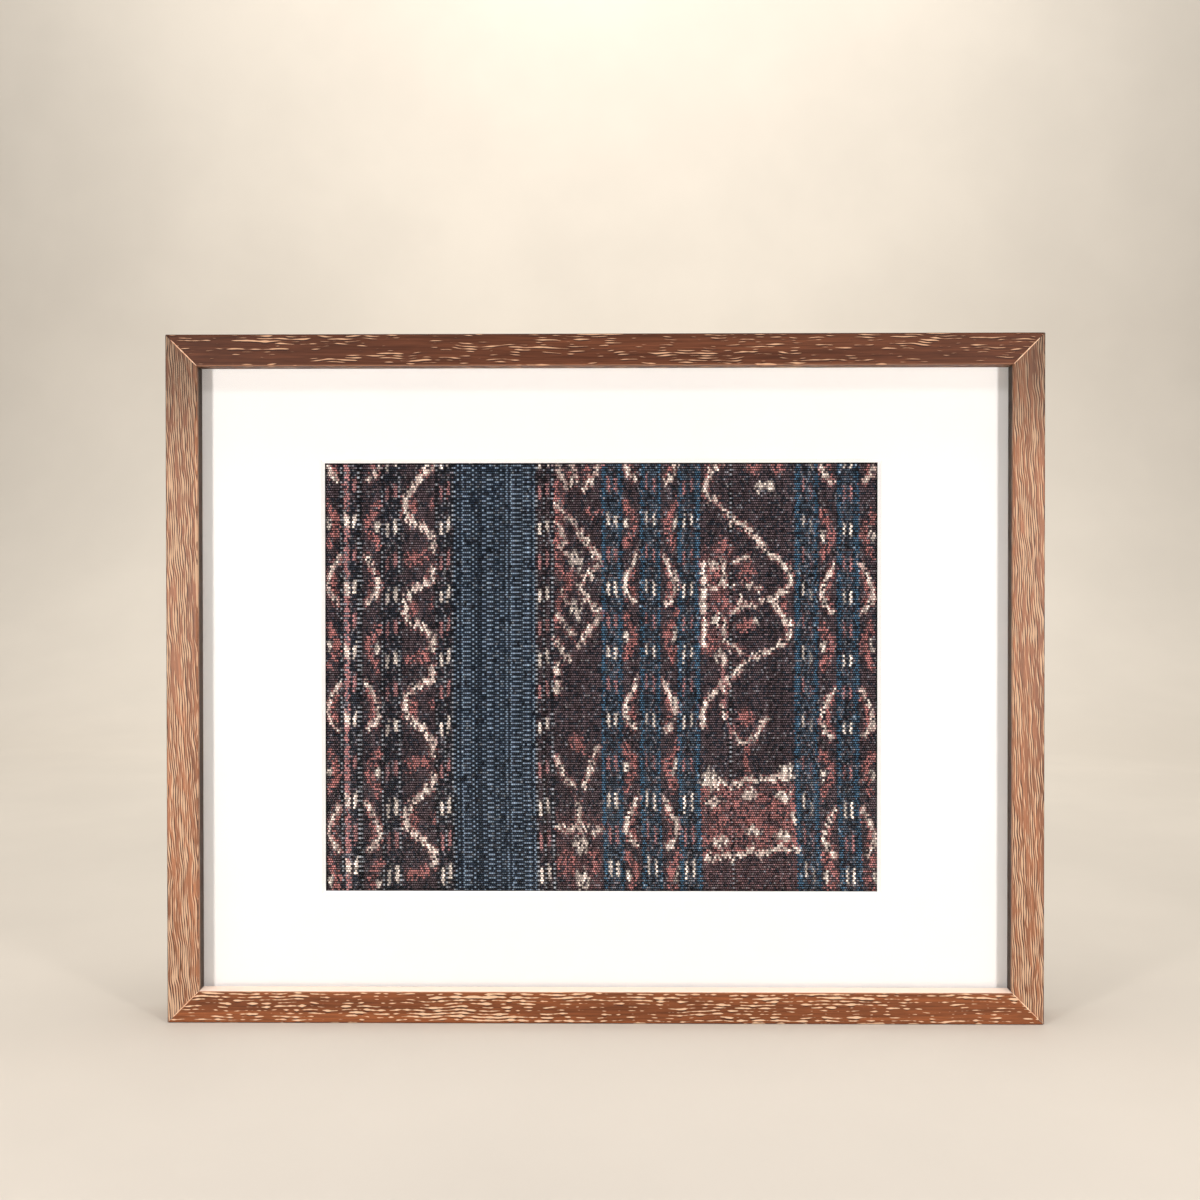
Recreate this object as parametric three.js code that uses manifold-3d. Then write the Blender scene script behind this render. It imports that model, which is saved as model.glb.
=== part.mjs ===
// A framed ikat textile. A flat, cut length of warp-faced cloth lies behind a bevel-cut window mat and a
// clear pane, in a mitred oak frame that stands on its bottom rail. Millimetres, +Z up, the face towards -Y,
// the origin under the middle of the bottom rail.
import * as THREE from "three";
import { mergeVertices } from "three/addons/utils/BufferGeometryUtils.js";
import Module from "manifold-3d";

const wasm = await Module();
wasm.setup();

// The frame
const FRAME_WIDTH = 482;
const FRAME_HEIGHT = 379;
const FRAME_DEPTH = 30;
const FACE_WIDTH = 17.5; // of one rail, seen from the front
const LIP_DEPTH = 8.5; // from the front face back to the pane
const LEDGE = 5.5; // how far the lip covers the pane's edge
const FRONT_ARRIS = 0.9; // eased front edges
const BACK_ARRIS = 0.5; // eased back edge
const ARRIS_STEPS = 3; // facets across an eased edge

// What lies in the rebate, from the front to the back
const GAP = 0.3; // between pieces that touch
const SHEET_WIDTH = 456; // pane, mat and backing are cut to one size
const SHEET_HEIGHT = 353;
const GLAZING_THICKNESS = 2;
const MAT_THICKNESS = 1.8;
const CLOTH_THICKNESS = 1;
const BACKING_THICKNESS = 3;

// The window in the mat, measured at its back face, and the cloth behind it
const WINDOW_WIDTH = 308.5;
const WINDOW_HEIGHT = 239.5;
const WINDOW_SHIFT_X = -1.9; // from the middle of the frame
const WINDOW_SHIFT_Z = 0.2;
const CLOTH_MARGIN = 13.25; // of cloth hidden behind the mat on each side

// The framer's points that hold the backing
const POINT_THICKNESS = 0.5;
const POINT_WIDTH = 6;
const POINT_IN_WOOD = 6;
const POINT_ON_BOARD = 9;
const POINT_TIP = 3; // length of the pointed end in the wood
const POINT_END_RADIUS = 2; // of the rounded end on the board
const POINTS_ON_LONG_RAIL = 3;
const POINTS_ON_SHORT_RAIL = 2;

// Worked out from the sizes above
const WALL = FACE_WIDTH - LEDGE; // the rail's thickness beside the rebate
const FRONT = -FRAME_DEPTH / 2;
const GLAZING_FRONT = FRONT + LIP_DEPTH + GAP;
const MAT_FRONT = GLAZING_FRONT + GLAZING_THICKNESS + GAP;
const CLOTH_FRONT = MAT_FRONT + MAT_THICKNESS + GAP;
const BACKING_FRONT = CLOTH_FRONT + CLOTH_THICKNESS + GAP;
const POINT_FRONT = BACKING_FRONT + BACKING_THICKNESS + GAP;
const MIDDLE_Z = FRAME_HEIGHT / 2;
const SHEET_Z = WALL + GAP + SHEET_HEIGHT / 2; // the sheets stand on the bottom rail
const WINDOW_Z = MIDDLE_Z + WINDOW_SHIFT_Z;

const OAK = new THREE.MeshStandardMaterial({ color: 0x8a5238, roughness: 0.55, metalness: 0 });
const CLEAR = new THREE.MeshStandardMaterial({
  color: 0xf4f8f8,
  roughness: 0.05,
  metalness: 0,
  transparent: true,
  opacity: 0.15,
});
const WHITE_BOARD = new THREE.MeshStandardMaterial({ color: 0xf6f4f0, roughness: 0.9, metalness: 0 });
const IKAT = new THREE.MeshStandardMaterial({ color: 0x34303a, roughness: 0.95, metalness: 0 });
const BROWN_BOARD = new THREE.MeshStandardMaterial({ color: 0x8f7350, roughness: 0.8, metalness: 0 });
const STEEL = new THREE.MeshStandardMaterial({ color: 0xb4b6b8, roughness: 0.35, metalness: 1 });

// A closed geometry as a solid that can be joined and cut.
function solidOf(geometry) {
  const bare = geometry.clone();
  bare.deleteAttribute("normal");
  bare.deleteAttribute("uv");
  const merged = mergeVertices(bare);
  return new wasm.Manifold(
    new wasm.Mesh({
      numProp: 3,
      vertProperties: new Float32Array(merged.attributes.position.array),
      triVerts: new Uint32Array(merged.index.array),
    }),
  );
}

// The solid's surface as a geometry again.
function geometryOf(solid) {
  const mesh = solid.getMesh();
  const geometry = new THREE.BufferGeometry();
  geometry.setAttribute("position", new THREE.BufferAttribute(mesh.vertProperties, mesh.numProp));
  geometry.setIndex(new THREE.BufferAttribute(mesh.triVerts, 1));
  geometry.computeVertexNormals();
  return geometry;
}

// The section of the moulding: x runs inwards from the frame's outer side, y from its front to its back.
function railSection() {
  const section = new THREE.Shape();
  section.moveTo(0, FRONT_ARRIS);
  section.quadraticCurveTo(0, 0, FRONT_ARRIS, 0);
  section.lineTo(FACE_WIDTH - FRONT_ARRIS, 0);
  section.quadraticCurveTo(FACE_WIDTH, 0, FACE_WIDTH, FRONT_ARRIS);
  section.lineTo(FACE_WIDTH, LIP_DEPTH);
  section.lineTo(WALL, LIP_DEPTH);
  section.lineTo(WALL, FRAME_DEPTH);
  section.lineTo(BACK_ARRIS, FRAME_DEPTH);
  section.quadraticCurveTo(0, FRAME_DEPTH, 0, FRAME_DEPTH - BACK_ARRIS);
  section.closePath();
  return section;
}

// One length of moulding, mitred at both ends, with its outer side at x = 0 and its middle at z = 0.
function railBar(length) {
  const bar = new THREE.ExtrudeGeometry(railSection(), {
    depth: length,
    curveSegments: ARRIS_STEPS,
    bevelEnabled: false,
  });
  const points = bar.attributes.position;
  for (let i = 0; i < points.count; i += 1) {
    const halfLength = length / 2 - points.getX(i) - GAP / 2;
    points.setZ(i, points.getZ(i) > length / 2 ? halfLength : -halfLength);
  }
  return bar;
}

// Where the points stand along a rail, evenly shared over the backing's edge.
function pointPlaces(length, count) {
  const reach = length - 2 * WALL;
  return Array.from({ length: count }, (_, i) => ((i + 0.5) / count - 0.5) * reach);
}

// The cut that a driven point leaves in the rail, a gap wider than the point all round.
function pointCut(place) {
  const depth = POINT_IN_WOOD + GAP;
  const past = 1; // out of the wood, so that the cut is open
  const cut = new THREE.BoxGeometry(depth + past, POINT_THICKNESS + 2 * GAP, POINT_WIDTH + 2 * GAP);
  cut.translate(WALL + (past - depth) / 2, POINT_FRONT - FRONT + POINT_THICKNESS / 2, place);
  return cut;
}

function railGeometry(length, count) {
  let rail = solidOf(railBar(length));
  for (const place of pointPlaces(length, count)) {
    rail = rail.subtract(solidOf(pointCut(place)));
  }
  return geometryOf(rail);
}

// A flat steel point: a sharp end in the wood, a rounded end on the board, in the rail's own axes.
function pointGeometry() {
  const half = POINT_WIDTH / 2;
  const tip = WALL - POINT_IN_WOOD;
  const end = WALL + POINT_ON_BOARD;
  const outline = new THREE.Shape();
  outline.moveTo(tip, 0);
  outline.lineTo(tip + POINT_TIP, -half);
  outline.lineTo(end - POINT_END_RADIUS, -half);
  outline.quadraticCurveTo(end, -half, end, -half + POINT_END_RADIUS);
  outline.lineTo(end, half - POINT_END_RADIUS);
  outline.quadraticCurveTo(end, half, end - POINT_END_RADIUS, half);
  outline.lineTo(tip + POINT_TIP, half);
  outline.closePath();
  const point = new THREE.ExtrudeGeometry(outline, {
    depth: POINT_THICKNESS,
    curveSegments: 4,
    bevelEnabled: false,
  });
  point.rotateX(Math.PI / 2);
  point.translate(0, POINT_FRONT - FRONT + POINT_THICKNESS, 0);
  return point;
}

// A flat sheet with its front face at y = 0 and its middle at x = z = 0.
function sheetGeometry(width, height, thickness) {
  const sheet = new THREE.BoxGeometry(width, thickness, height);
  sheet.translate(0, thickness / 2, 0);
  return sheet;
}

// What the window takes out of the mat: a block whose four sides slope out to the front at 45 degrees.
function windowCut() {
  const past = 1; // beyond both faces of the mat
  const cut = sheetGeometry(WINDOW_WIDTH, WINDOW_HEIGHT, MAT_THICKNESS + 2 * past);
  cut.translate(0, -past, 0);
  const points = cut.attributes.position;
  for (let i = 0; i < points.count; i += 1) {
    const spread = MAT_THICKNESS - points.getY(i);
    points.setX(i, points.getX(i) + Math.sign(points.getX(i)) * spread);
    points.setZ(i, points.getZ(i) + Math.sign(points.getZ(i)) * spread);
  }
  cut.translate(WINDOW_SHIFT_X, 0, WINDOW_Z - SHEET_Z);
  return cut;
}

function matGeometry() {
  const board = solidOf(sheetGeometry(SHEET_WIDTH, SHEET_HEIGHT, MAT_THICKNESS));
  return geometryOf(board.subtract(solidOf(windowCut())));
}

function place(name, geometry, material, x, y, z) {
  const mesh = new THREE.Mesh(geometry, material);
  mesh.name = name;
  mesh.position.set(x, y, z);
  return mesh;
}

// One rail with its points, turned about the frame's middle to its side of the frame.
function railWithPoints({ side, quarterTurns, length, outwards, pointCount }) {
  const turned = new THREE.Group();
  turned.rotation.y = (quarterTurns * Math.PI) / 2;
  turned.add(place(`rail_${side}`, railGeometry(length, pointCount), OAK, -outwards, 0, 0));
  pointPlaces(length, pointCount).forEach((along, i) => {
    turned.add(place(`point_${side}_${i + 1}`, pointGeometry(), STEEL, -outwards, 0, along));
  });
  return turned;
}

const RAILS = [
  {
    side: "left",
    quarterTurns: 0,
    length: FRAME_HEIGHT,
    outwards: FRAME_WIDTH / 2,
    pointCount: POINTS_ON_SHORT_RAIL,
  },
  {
    side: "top",
    quarterTurns: 1,
    length: FRAME_WIDTH,
    outwards: FRAME_HEIGHT / 2,
    pointCount: POINTS_ON_LONG_RAIL,
  },
  {
    side: "right",
    quarterTurns: 2,
    length: FRAME_HEIGHT,
    outwards: FRAME_WIDTH / 2,
    pointCount: POINTS_ON_SHORT_RAIL,
  },
  {
    side: "bottom",
    quarterTurns: 3,
    length: FRAME_WIDTH,
    outwards: FRAME_HEIGHT / 2,
    pointCount: POINTS_ON_LONG_RAIL,
  },
];

const frame = new THREE.Group();
frame.position.set(0, FRONT, MIDDLE_Z);
for (const rail of RAILS) {
  frame.add(railWithPoints(rail));
}

const clothWidth = WINDOW_WIDTH + 2 * CLOTH_MARGIN;
const clothHeight = WINDOW_HEIGHT + 2 * CLOTH_MARGIN;
const glazing = sheetGeometry(SHEET_WIDTH, SHEET_HEIGHT, GLAZING_THICKNESS);
const cloth = sheetGeometry(clothWidth, clothHeight, CLOTH_THICKNESS);
const backing = sheetGeometry(SHEET_WIDTH, SHEET_HEIGHT, BACKING_THICKNESS);

const framedTextile = new THREE.Group();
framedTextile.add(
  frame,
  place("glazing", glazing, CLEAR, 0, GLAZING_FRONT, SHEET_Z),
  place("mat", matGeometry(), WHITE_BOARD, 0, MAT_FRONT, SHEET_Z),
  place("cloth", cloth, IKAT, WINDOW_SHIFT_X, CLOTH_FRONT, WINDOW_Z),
  place("backing", backing, BROWN_BOARD, 0, BACKING_FRONT, SHEET_Z),
);

export default framedTextile;
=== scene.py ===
"""A framed ikat textile: the finish of its oak frame, pane, boards and points, and the woven, dyed cloth.

Lengths are in metres unless a name or a table says millimetres. Charts of the cloth run in millimetres
from the top left corner of the mat's window, to the right and down.
"""

import math
from collections import namedtuple

import bmesh
import bpy
import numpy as np
from bpy.props import FloatProperty, FloatVectorProperty, IntProperty, PointerProperty
from mathutils import Matrix, Vector


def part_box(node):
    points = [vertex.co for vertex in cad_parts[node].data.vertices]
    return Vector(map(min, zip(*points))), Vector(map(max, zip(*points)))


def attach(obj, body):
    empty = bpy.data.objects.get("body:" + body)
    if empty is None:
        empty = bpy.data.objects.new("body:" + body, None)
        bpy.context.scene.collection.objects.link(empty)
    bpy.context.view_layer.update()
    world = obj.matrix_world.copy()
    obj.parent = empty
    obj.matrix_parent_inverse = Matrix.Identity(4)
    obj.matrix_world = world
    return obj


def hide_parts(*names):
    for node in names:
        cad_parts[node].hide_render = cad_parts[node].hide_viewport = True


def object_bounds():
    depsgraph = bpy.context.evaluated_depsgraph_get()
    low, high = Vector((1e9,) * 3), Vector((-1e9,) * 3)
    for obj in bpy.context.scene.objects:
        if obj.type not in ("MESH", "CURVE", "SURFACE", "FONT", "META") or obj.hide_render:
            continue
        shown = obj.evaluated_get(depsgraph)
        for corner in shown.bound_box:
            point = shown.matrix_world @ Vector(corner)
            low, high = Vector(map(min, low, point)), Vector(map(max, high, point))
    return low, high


bl_info = {
    "name": "Framed ikat textile",
    "version": (1, 0, 0),
    "blender": (4, 5, 0),
    "location": "View3D > Sidebar > Ikat",
    "description": "Finishes a mitred oak frame and weaves the warp ikat that it holds",
    "category": "Object",
}

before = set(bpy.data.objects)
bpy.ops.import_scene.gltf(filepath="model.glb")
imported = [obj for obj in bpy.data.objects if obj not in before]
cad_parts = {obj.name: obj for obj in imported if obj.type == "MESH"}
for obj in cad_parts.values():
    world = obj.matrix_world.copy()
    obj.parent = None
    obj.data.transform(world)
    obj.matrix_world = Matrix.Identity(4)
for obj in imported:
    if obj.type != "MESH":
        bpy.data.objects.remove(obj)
CAD_LOW, CAD_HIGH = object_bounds()

MM = 0.001
BODY = "root"
POINTS = sorted(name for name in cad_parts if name.startswith("point_"))

CLOTH_LOW, CLOTH_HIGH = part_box("cloth")
CLOTH_MARGIN = 13.25 * MM  # of cloth hidden behind the mat on each side
WINDOW_LEFT = CLOTH_LOW.x + CLOTH_MARGIN
WINDOW_TOP = CLOTH_HIGH.z - CLOTH_MARGIN
WINDOW_WIDTH = CLOTH_HIGH.x - CLOTH_LOW.x - 2 * CLOTH_MARGIN
WINDOW_HEIGHT = CLOTH_HIGH.z - CLOTH_LOW.z - 2 * CLOTH_MARGIN
FACE_WIDTH = 17.5 * MM  # of the rails, seen from the front
PANE_TINT = (0.985, 0.985, 0.985, 1)
PANE_INDEX = 1.12  # of refraction: low, so that the pane reflects less than plain glass
GRAIN_SLANT = 0.05  # radians by which the side rails' grain leans from upright
SHADE_REACH, SHADE_FULL = 85 * MM, 12 * MM  # from the top, where the side rails' painted shade starts and is full
OUTER_BAND = 6 * MM  # of the moulding, along its outer edge
REVEAL_SHADE = 0.14  # of the stain's own tone, kept as painted shade on the deep part of the side rails' inward faces


def tone(red, green, blue):
    """A colour given as three 8-bit screen values, in Blender's linear values."""
    shares = (value / 255 for value in (red, green, blue))
    return tuple(s / 12.92 if s <= 0.04045 else ((s + 0.055) / 1.055) ** 2.4 for s in shares)


def colour_property(name, description, default):
    return FloatVectorProperty(
        name=name, description=description, subtype="COLOR", size=3, min=0, max=1, default=default
    )


def length_property(name, description, default):
    return FloatProperty(
        name=name, description=description, subtype="DISTANCE", unit="LENGTH", min=0, default=default
    )


class ClothSettings(bpy.types.PropertyGroup):
    """Sizes and dyes of the ikat cloth."""

    pick_pitch: length_property("Pick pitch", "From one weft rib to the next", 1.312 * MM)
    end_pitch: length_property("End pitch", "From one warp end to the next", 0.6 * MM)
    rib_height: length_property("Rib height", "From the valley between two ribs to their crest", 0.3 * MM)
    feather: length_property("Feather", "How far one warp end slips along its neighbour's dye", 1.0 * MM)
    seed: IntProperty(name="Seed", description="Of the slips and flecks of the yarn", min=0, default=7)
    navy: colour_property("Navy", "Near-black indigo between the stripes", tone(28, 31, 38))
    earth: colour_property("Earth", "Brown-black ground of the patterned bands", tone(56, 47, 51))
    slate: colour_property("Slate", "Grey-blue ground of the narrow stripes", tone(48, 57, 68))
    indigo: colour_property("Indigo", "Ground of the wide blue band", tone(19, 27, 37))
    teal: colour_property("Teal", "Bright blue edge stripes", tone(42, 64, 82))
    sky: colour_property("Sky", "Pale blue ends of the blue band", tone(128, 146, 166))
    rust: colour_property("Rust", "Red-brown dye", tone(155, 101, 98))
    ash: colour_property("Ash", "Dull ends among the dark ones", tone(88, 86, 92))
    rose: colour_property("Rose", "Faded pink-brown dye", tone(148, 104, 104))
    cream: colour_property("Cream", "Undyed cotton", tone(240, 225, 214))


class OakSettings(bpy.types.PropertyGroup):
    """Stain and pores of the oak moulding."""

    # The top rail's stain, made darker than the side rails' as painted shade.
    stain_top_and_shade: colour_property("Top rail", "Stain of the top rail", tone(98, 57, 38))
    stain_bottom: colour_property("Bottom rail", "Stain of the bottom rail", tone(134, 77, 44))
    stain_sides: colour_property("Side rails", "Stain of the two side rails", tone(156, 104, 74))
    pores: colour_property("Pores", "Pale filler in the open pores", tone(226, 178, 142))
    bottom_pores: colour_property("Bottom pores", "Filler on the bottom rail", tone(238, 200, 164))
    faint_pores: colour_property("Side pores", "Thinner filler on the side rails", tone(216, 178, 146))
    # Wear and painted highlight along the inner edges.
    worn: colour_property("Worn edges", "Stain rubbed thin along the inner edges", tone(206, 150, 116))
    # Painted highlight on the bottom rail's lip, where its faces look up.
    sill_highlight: colour_property("Bottom lip", "Wood left pale on the bottom rail's lip", tone(255, 232, 216))
    filler: colour_property("Mitre filler", "Pale wax in the mitres", tone(246, 214, 180))
    filler_width: length_property("Mitre line", "Width of the pale line along each mitre", 0.6 * MM)


class BoardSettings(bpy.types.PropertyGroup):
    """Colours of the mat, its core, the backing and the points."""

    mat_face: colour_property("Mat face", "Paper on the front of the mat", tone(246, 245, 243))
    mat_core: colour_property("Mat core", "Cut core along the window", tone(255, 255, 254))
    hardboard: colour_property("Hardboard", "Smooth side of the backing", tone(122, 92, 62))
    zinc: colour_property("Zinc", "Plating of the points", tone(186, 189, 192))


class StageSettings(bpy.types.PropertyGroup):
    """Floor, lights and camera."""

    floor: colour_property("Floor", "Floor and backdrop", tone(216, 208, 197))
    key_power: FloatProperty(name="Key", description="Overhead lamp", unit="POWER", min=0, default=4.2)
    side_power: FloatProperty(name="Sides", description="Each side lamp", unit="POWER", min=0, default=4.9)
    back_power: FloatProperty(
        name="Backdrop", description="Lamp on the backdrop", unit="POWER", min=0, default=57
    )
    distance: length_property("Distance", "From the camera to the frame's front face", 657.7 * MM)
    height: length_property("Height", "Of the camera above the floor", 238.1 * MM)
    aside: length_property("Aside", "Of the camera, to the right of the frame's middle", 3.6 * MM)
    pan: FloatProperty(
        name="Pan", description="To the left", subtype="ANGLE", default=math.radians(0.507)
    )
    pitch: FloatProperty(
        name="Pitch", description="Downwards", subtype="ANGLE", default=math.radians(0.444)
    )
    roll: FloatProperty(name="Roll", description="Clockwise", subtype="ANGLE", default=math.radians(0.037))


def add_node(tree, kind, inputs=None, **settings):
    """A new node, with its settings made and its sockets linked or given their values."""
    made = tree.nodes.new(kind)
    for name, value in settings.items():
        setattr(made, name, value)
    for socket, value in (inputs or {}).items():
        if isinstance(value, bpy.types.NodeSocket):
            tree.links.new(value, made.inputs[socket])
        else:
            made.inputs[socket].default_value = value
    return made


def maths(tree, operation, first, second=0.0):
    return add_node(tree, "ShaderNodeMath", {0: first, 1: second}, operation=operation).outputs[0]


def vector_maths(tree, operation, first, second):
    return add_node(tree, "ShaderNodeVectorMath", {0: first, 1: second}, operation=operation).outputs[0]


def axes(tree, vector):
    """The vector's X, Y and Z."""
    return add_node(tree, "ShaderNodeSeparateXYZ", {0: vector}).outputs


def object_place(tree):
    return add_node(tree, "ShaderNodeTexCoord").outputs["Object"]


def spread(tree, value, low, high, to_low=0.0, to_high=1.0):
    """The value's range low to high, laid smoothly onto the range to_low to to_high."""
    made = add_node(
        tree,
        "ShaderNodeMapRange",
        {"Value": value, "From Min": low, "From Max": high, "To Min": to_low, "To Max": to_high},
        interpolation_type="SMOOTHSTEP",
    )
    return made.outputs["Result"]


def stretched_noise(tree, vector, scale, detail=3.0, roughness=0.55, distortion=0.0):
    """Noise whose size along each axis is one over scale, in metres."""
    mapped = add_node(tree, "ShaderNodeMapping", {"Vector": vector, "Scale": scale})
    made = add_node(
        tree,
        "ShaderNodeTexNoise",
        {
            "Vector": mapped.outputs["Vector"],
            "Scale": 1.0,
            "Detail": detail,
            "Roughness": roughness,
            "Distortion": distortion,
        },
    )
    return made.outputs["Fac"]


def blended(tree, share, first, second, blend="MIX"):
    """The colour first with a share of the colour second laid over it."""
    made = add_node(tree, "ShaderNodeMix", data_type="RGBA", blend_type=blend)
    for socket, value in ((0, share), (6, first), (7, second)):
        if isinstance(value, bpy.types.NodeSocket):
            tree.links.new(value, made.inputs[socket])
        elif socket == 0:
            made.inputs[socket].default_value = value
        else:
            made.inputs[socket].default_value = (*value[:3], 1)
    return made.outputs[2]


def shader_group(name, inputs, outputs):
    """A new shader node group, with the outputs of its input node and the inputs of its output node."""
    tree = bpy.data.node_groups.new(name, "ShaderNodeTree")
    for label, kind, default in inputs:
        socket = tree.interface.new_socket(label, in_out="INPUT", socket_type=kind)
        if default is not None:
            socket.default_value = default
    for label, kind in outputs:
        tree.interface.new_socket(label, in_out="OUTPUT", socket_type=kind)
    return tree, tree.nodes.new("NodeGroupInput").outputs, tree.nodes.new("NodeGroupOutput").inputs


def placed_group(tree, group, values):
    """The group, placed in a material's tree with its own values."""
    made = tree.nodes.new("ShaderNodeGroup")
    made.node_tree = group
    for socket, value in values.items():
        if isinstance(value, bpy.types.NodeSocket):
            tree.links.new(value, made.inputs[socket])
        elif hasattr(value, "__len__") and len(value) == 3 and made.inputs[socket].type == "RGBA":
            made.inputs[socket].default_value = (*value, 1)
        else:
            made.inputs[socket].default_value = value
    return made.outputs


def bare_material(name, colour):
    """A new material with an empty node tree but for its output and its Principled shader."""
    material = bpy.data.materials.new(name)
    material.use_nodes = True
    material.diffuse_color = (*colour[:3], 1)
    tree = material.node_tree
    tree.nodes.clear()
    output = tree.nodes.new("ShaderNodeOutputMaterial")
    shader = tree.nodes.new("ShaderNodeBsdfPrincipled")
    tree.links.new(shader.outputs["BSDF"], output.inputs["Surface"])
    return material, tree, shader


def raise_surface(tree, shader, height, distance, strength=1.0):
    bump = add_node(
        tree, "ShaderNodeBump", {"Height": height, "Distance": distance, "Strength": strength}
    )
    tree.links.new(bump.outputs["Normal"], shader.inputs["Normal"])


def pore_rows(tree, parts, wavy, length, pitch, shift):
    """Dashes in rows along X: high in the middle of a dash, and lower away from it along and across."""
    across = maths(tree, "ADD", parts[1], parts[2])
    across = maths(tree, "ADD", across, maths(tree, "MULTIPLY", wavy, 3.5 * MM))
    cell = maths(tree, "ADD", maths(tree, "DIVIDE", across, pitch), shift)
    row = maths(tree, "FLOOR", cell)
    aside = maths(tree, "ABSOLUTE", maths(tree, "SUBTRACT", maths(tree, "FRACT", cell), 0.5))
    along = maths(tree, "DIVIDE", maths(tree, "MULTIPLY", parts[0], 90.0), length)
    spot = add_node(tree, "ShaderNodeCombineXYZ", {"X": along, "Y": maths(tree, "MULTIPLY", row, 5.37)})
    dash = add_node(
        tree,
        "ShaderNodeTexNoise",
        {"Vector": spot.outputs[0], "Scale": 1.0, "Detail": 1.5, "Roughness": 0.5},
    )
    return maths(tree, "SUBTRACT", dash.outputs["Fac"], maths(tree, "MULTIPLY", aside, 0.7))


def oak_group():
    """Stained open-grained oak with rows of filled pores. The grain runs along the vector's X."""
    tree, given, made = shader_group(
        "Stained oak",
        [
            ("Vector", "NodeSocketVector", None),
            ("Stain", "NodeSocketColor", (0.3, 0.12, 0.06, 1)),
            ("Pores", "NodeSocketColor", (0.7, 0.45, 0.3, 1)),
            ("Worn And Highlit", "NodeSocketColor", (0.6, 0.35, 0.2, 1)),
            ("Pore Share", "NodeSocketFloat", 0.5),
            ("Dark Share", "NodeSocketFloat", 0.5),
            ("Pore Length", "NodeSocketFloat", 1.0),
            ("Row Pitch", "NodeSocketFloat", 1.5 * MM),
            ("Edge Wear And Highlight", "NodeSocketFloat", 0.0),
            ("Rim Shade", "NodeSocketFloat", 0.0),
        ],
        [
            ("Color", "NodeSocketColor"),
            ("Roughness", "NodeSocketFloat"),
            ("Height", "NodeSocketFloat"),
        ],
    )
    vector = given["Vector"]
    parts = axes(tree, vector)
    rings = stretched_noise(tree, vector, (3.5, 130, 130), 3, 0.5, 0.4)
    fibres = stretched_noise(tree, vector, (30, 800, 800), 4, 0.65)
    wavy = stretched_noise(tree, vector, (55, 70, 70), 1)
    crowded = stretched_noise(tree, vector, (14, 190, 190), 2, 0.5, 0.3)
    lean = maths(tree, "MULTIPLY", maths(tree, "SUBTRACT", crowded, 0.5), 0.55)
    masks = []
    for share, shift in (("Pore Share", 0.0), ("Dark Share", 0.5)):
        keen = maths(tree, "MULTIPLY", maths(tree, "SUBTRACT", given[share], 0.5), 0.3)
        level = pore_rows(tree, parts, wavy, given["Pore Length"], given["Row Pitch"], shift)
        level = maths(tree, "ADD", maths(tree, "ADD", level, lean), keen)
        masks.append(spread(tree, level, 0.49, 0.535))
    pores, pits = masks

    dark = blended(tree, 1.0, given["Stain"], (0.72, 0.68, 0.66), "MULTIPLY")
    light = blended(tree, 1.0, given["Stain"], (1.16, 1.14, 1.1), "MULTIPLY")
    ringed = blended(tree, spread(tree, rings, 0.33, 0.67), dark, light)
    shade = spread(tree, fibres, 0.3, 0.7, 0.66, 1.26)
    shaded = vector_maths(tree, "MULTIPLY", ringed, shade)
    sunk = blended(tree, maths(tree, "MULTIPLY", pits, 0.85), shaded, (0.035, 0.014, 0.009))
    filled = blended(tree, maths(tree, "MULTIPLY", pores, 0.85), sunk, given["Pores"])
    # The inner eased edges are made paler, as wear and as a painted highlight.
    worn = maths(tree, "MULTIPLY", given["Edge Wear And Highlight"], spread(tree, fibres, 0.25, 0.6, 0.5, 0.9))
    eased = blended(tree, worn, filled, given["Worn And Highlit"])
    # Painted shade: the outer eased edges are darkened almost to black.
    rim_shade = maths(tree, "MULTIPLY", given["Rim Shade"], 0.8)
    tree.links.new(blended(tree, rim_shade, eased, (0.02, 0.012, 0.01)), made["Color"])
    tree.links.new(spread(tree, pores, 0.0, 1.0, 0.48, 0.66), made["Roughness"])
    grooves = maths(tree, "MULTIPLY", maths(tree, "ADD", pores, pits), -0.6)
    tree.links.new(maths(tree, "ADD", grooves, maths(tree, "MULTIPLY", fibres, 0.5)), made["Height"])
    return tree


def tooth_group():
    """The fine tooth of a pressed board: a mask of slight mottling and a height."""
    tree, given, made = shader_group(
        "Board tooth",
        [("Vector", "NodeSocketVector", None), ("Grain", "NodeSocketFloat", 900.0)],
        [("Mottle", "NodeSocketFloat"), ("Height", "NodeSocketFloat")],
    )
    tooth = add_node(
        tree, "ShaderNodeTexNoise", {"Vector": given["Vector"], "Scale": given["Grain"], "Detail": 5.0}
    ).outputs["Fac"]
    clouds = add_node(
        tree, "ShaderNodeTexNoise", {"Vector": given["Vector"], "Scale": 14.0, "Detail": 3.0}
    ).outputs["Fac"]
    mixed = maths(tree, "ADD", maths(tree, "MULTIPLY", tooth, 0.6), maths(tree, "MULTIPLY", clouds, 0.4))
    tree.links.new(spread(tree, mixed, 0.35, 0.65), made["Mottle"])
    tree.links.new(tooth, made["Height"])
    return tree


def group_named(name, maker):
    return bpy.data.node_groups.get(name) or maker()


def slanted_mask(tree):
    """1 on faces that lie aslant to the frame's own axes, such as its eased edges, and 0 on the others."""
    normal = add_node(tree, "ShaderNodeNewGeometry").outputs["True Normal"]
    parts = axes(tree, normal)
    largest = maths(tree, "ABSOLUTE", parts[0])
    for part in (parts[1], parts[2]):
        largest = maths(tree, "MAXIMUM", largest, maths(tree, "ABSOLUTE", part))
    return spread(tree, largest, 0.99, 0.93)


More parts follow.
